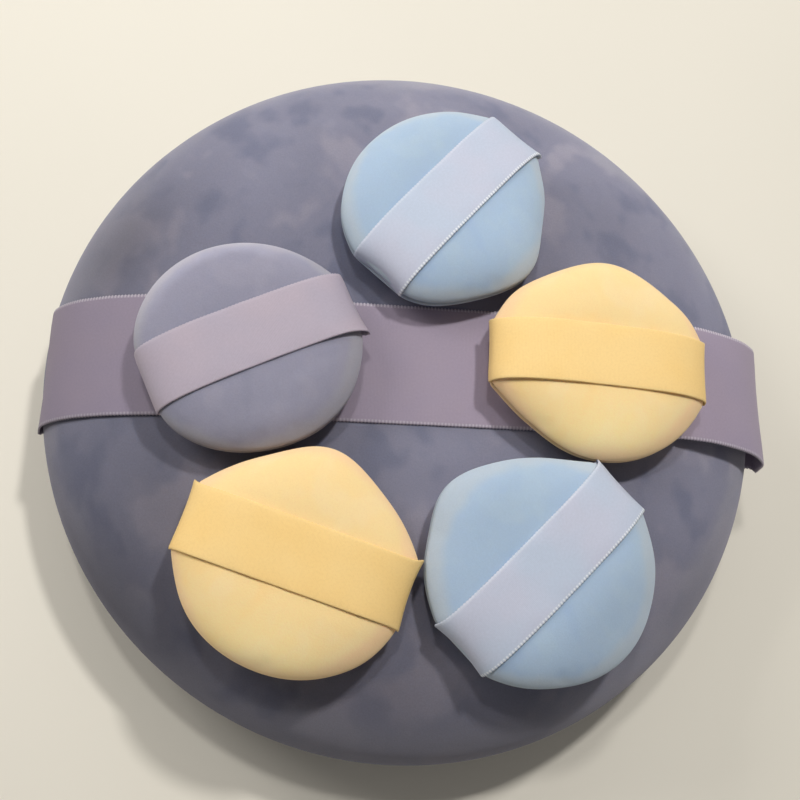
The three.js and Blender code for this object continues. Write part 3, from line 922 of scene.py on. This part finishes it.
# The cloth may swell by room_beside, which it reaches beside_over away from the band, and on
# the underside by room_under, and by more at the side.
room_beside, beside_over, room_under, more_at_side = 0.0009, 0.003, 0.0002, 0.0006
band_half_angle = math.asin(0.5 * small_band_width / small_radius)
small_back_line = outside_line(
    small_radius, small_crown_rise, small_squareness, small_crown_rise, small_lip, 26,
)
small_face_line = outside_line(
    small_radius, small_face_depth, small_face_squareness, small_face_depth, small_lip, 24,
)
for name, puff in small_puffs.items():
    turns = around(small_segments)
    share = outline(
        small_segments, puff["reach"], puff["swells"], puff["shift"], small_band_width, small_radius,
    )
    gap = small_seam_gap + small_end_gap * at_band_end(turns, band_half_angle)
    small_back = outside(small_back_line, 1, share, gap)
    small_face = outside(small_face_line, -1, share, gap)
    shift = puff["shift"] * small_radius
    beside = np.abs(small_back[..., 1] - shift) - 0.5 * small_band_width
    beside = np.clip(beside / beside_over, 0, 1)
    held = [
        flat_list(np.maximum(held_rings(small_back, 0), np.clip(1 - 2 * beside, 0, 1))),
        flat_list(held_rings(small_face, 0), True),
    ]
    out = np.hypot(small_face[..., 0], small_face[..., 1]) / small_radius
    room = [
        flat_list(room_beside * beside * beside * (3 - 2 * beside)),
        flat_list(room_under + more_at_side * np.clip(out - 0.5, 0, 1), True),
    ]
    small_back, small_face = puffed(
        (small_back, small_face), held, room, pressure=3.5, size=20,
    )
    place = place_on_crown(small_places[name], puff["turn"], puff["on_band"])
    place = place @ Matrix.Translation((0, 0, small_face_depth))
    body = name + "_puff"
    for part, rings, way, rise, line in (
        ("back_cover", small_back, 1, small_crown_rise, small_back_line),
        ("face_cover", small_face, -1, small_face_depth, small_face_line),
    ):
        mesh = cover(
            f"{name}_{part}_velour", rings, way, small_radius, rise, small_cloth, small_allowance, gap,
        )
        stroke_and_paint_light(mesh, puff["pile_and_light_marks"] if way > 0 else ())
        made = piece(
            f"{name}_{part}_velour", mesh, place, body, small_velours[puff["colour"]], detail=1,
        )
        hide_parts(f"{name}_{part}")
    mesh = foam_disc(
        name + "_foam", (small_back, small_face), (small_back_line, small_face_line), small_cloth,
        small_allowance, small_radius,
    )
    made = piece(name + "_foam", mesh, place, body, white_foam)
    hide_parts(name + "_foam_core")
    mesh = seam_thread(
        name + "_thread", inner=0.02515, outer=0.0271, swing=0.0002, thickness=0.00035, stitches=62,
        ends=band_half_angle, outline=share,
    )
    made = piece(name + "_thread", mesh, place, body, small_threads[puff["colour"]])
    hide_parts(name + "_seam_thread")

    line, steps = band_line(
        small_radius, small_crown_rise, small_squareness, small_band_thickness, small_band_tuck,
        puff["reach"], [end * small_stand_off for end in puff["stand_off"]], small_bow,
        softness=0.0003,
    )
    mesh = band_mesh(
        name + "_band", line, steps, small_band_width, small_band_thickness, shift,
        loop_depth=0.0002, ripple=0.00015, ends=puff["ends"],
    )
    made = piece(name + "_band_ribbon", mesh, place, None, small_wovens[puff["colour"]])
    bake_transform(made)
    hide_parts(name + "_ribbon")


# Stage: a pale table top, three small lamps and two softboxes over the far side and the left,
# and the camera, which looks down from a little to the left.

scene = bpy.context.scene


def shown_rays(tree):
    """1 where a ray shows the background: to the camera, off gloss or through glass."""
    rays = add_node(tree, "ShaderNodeLightPath").outputs
    reflected = maths(tree, "ADD", rays["Is Glossy Ray"], rays["Is Transmission Ray"])
    return maths(tree, "ADD", rays["Is Camera Ray"], reflected)


def floor_material():
    """A pale table top that keeps the object's shadow, and stays pale far from the lamps."""
    material, tree = new_material("pale_table")
    place = add_node(tree, "ShaderNodeTexCoord").outputs["Object"]
    tint = dyed(tree, cloudy(tree, place, 6, 2), shade(241, 236, 225), shade(233, 228, 216))
    top = add_node(tree, "ShaderNodeBsdfPrincipled", {
        "Base Color": tint, "Roughness": 0.7, "Specular IOR Level": 0.2,
    })
    away = graded(tree, length_of(tree, place), 0.3, 0.9, eased=True)
    far = maths(tree, "MULTIPLY", away, shown_rays(tree))
    pale = add_node(tree, "ShaderNodeEmission", {"Color": shade(236, 232, 222)})
    seen = add_node(tree, "ShaderNodeMixShader", {0: far, 1: top.outputs[0], 2: pale.outputs[0]})
    add_node(tree, "ShaderNodeOutputMaterial", {"Surface": seen.outputs[0]})
    return material


bpy.ops.mesh.primitive_plane_add(size=6, location=(0, 0, -0.0002))
table = bpy.context.object
table.name = "table_top"
table.data.materials.append(floor_material())

world = bpy.data.worlds.new("room")
scene.world = world
world.use_nodes = True
room_level, backdrop_level = 0.17, 0.84
tree = world.node_tree
level = maths(tree, "MULTIPLY_ADD", shown_rays(tree), backdrop_level - room_level, room_level)
tree.nodes["Background"].inputs["Color"].default_value = (1, 0.985, 0.95, 1)
tree.links.new(level, tree.nodes["Background"].inputs["Strength"])


def lamp(name, place, size, power, aim=(0, 0, 0)):
    light = bpy.data.lights.new(name, "AREA")
    light.shape = "DISK"
    light.size = size
    light.energy = power
    light.color = (1, 0.98, 0.94)
    made = bpy.data.objects.new(name, light)
    scene.collection.objects.link(made)
    made.location = place
    made.rotation_euler = (Vector(aim) - Vector(place)).to_track_quat("-Z", "Y").to_euler()


def from_side(azimuth, elevation, distance):
    """A place over the table, from its heading round the object and its height in degrees."""
    a, e = math.radians(azimuth), math.radians(elevation)
    flat = distance * math.cos(e)
    return (flat * math.cos(a), flat * math.sin(a), distance * math.sin(e))


lamp("far_right_lamp", from_side(62, 63.5, 1.0), size=0.08, power=4.0)
lamp("far_left_lamp", from_side(113, 69.5, 1.0), size=0.08, power=1.8)
lamp("low_left_lamp", from_side(135, 42, 2.0), size=0.08, power=0.9)
lamp("far_softbox", from_side(90, 50, 1.0), size=0.7, power=0.7)
lamp("near_left_softbox", from_side(150, 40, 0.7), size=0.3, power=1.25, aim=(-0.1, 0.1, 0))

camera_data = bpy.data.cameras.new("camera")
camera = bpy.data.objects.new("camera", camera_data)
scene.collection.objects.link(camera)
camera_aim, camera_distance = Vector((-0.00616, -0.00965, 0.048)), 0.25224
focal_pixels, picture_pixels, sensor_mm = 981.17, 800, 36
azimuth, elevation, roll = math.radians(-25.31), math.radians(71.88), math.radians(27.1)
near = -math.cos(azimuth) * math.cos(elevation)
back = Vector((math.sin(azimuth) * math.cos(elevation), near, math.sin(elevation)))
level_right = Vector((math.cos(azimuth), math.sin(azimuth), 0))
upright = back.cross(level_right)
right = math.cos(roll) * level_right + math.sin(roll) * upright
top = math.cos(roll) * upright - math.sin(roll) * level_right
turn = Matrix((right, top, back)).transposed().to_4x4()
camera.matrix_world = Matrix.Translation(camera_aim + camera_distance * back) @ turn
camera_data.sensor_width = sensor_mm
camera_data.lens = sensor_mm * focal_pixels / picture_pixels
scene.camera = camera

scene.view_settings.view_transform = "Standard"
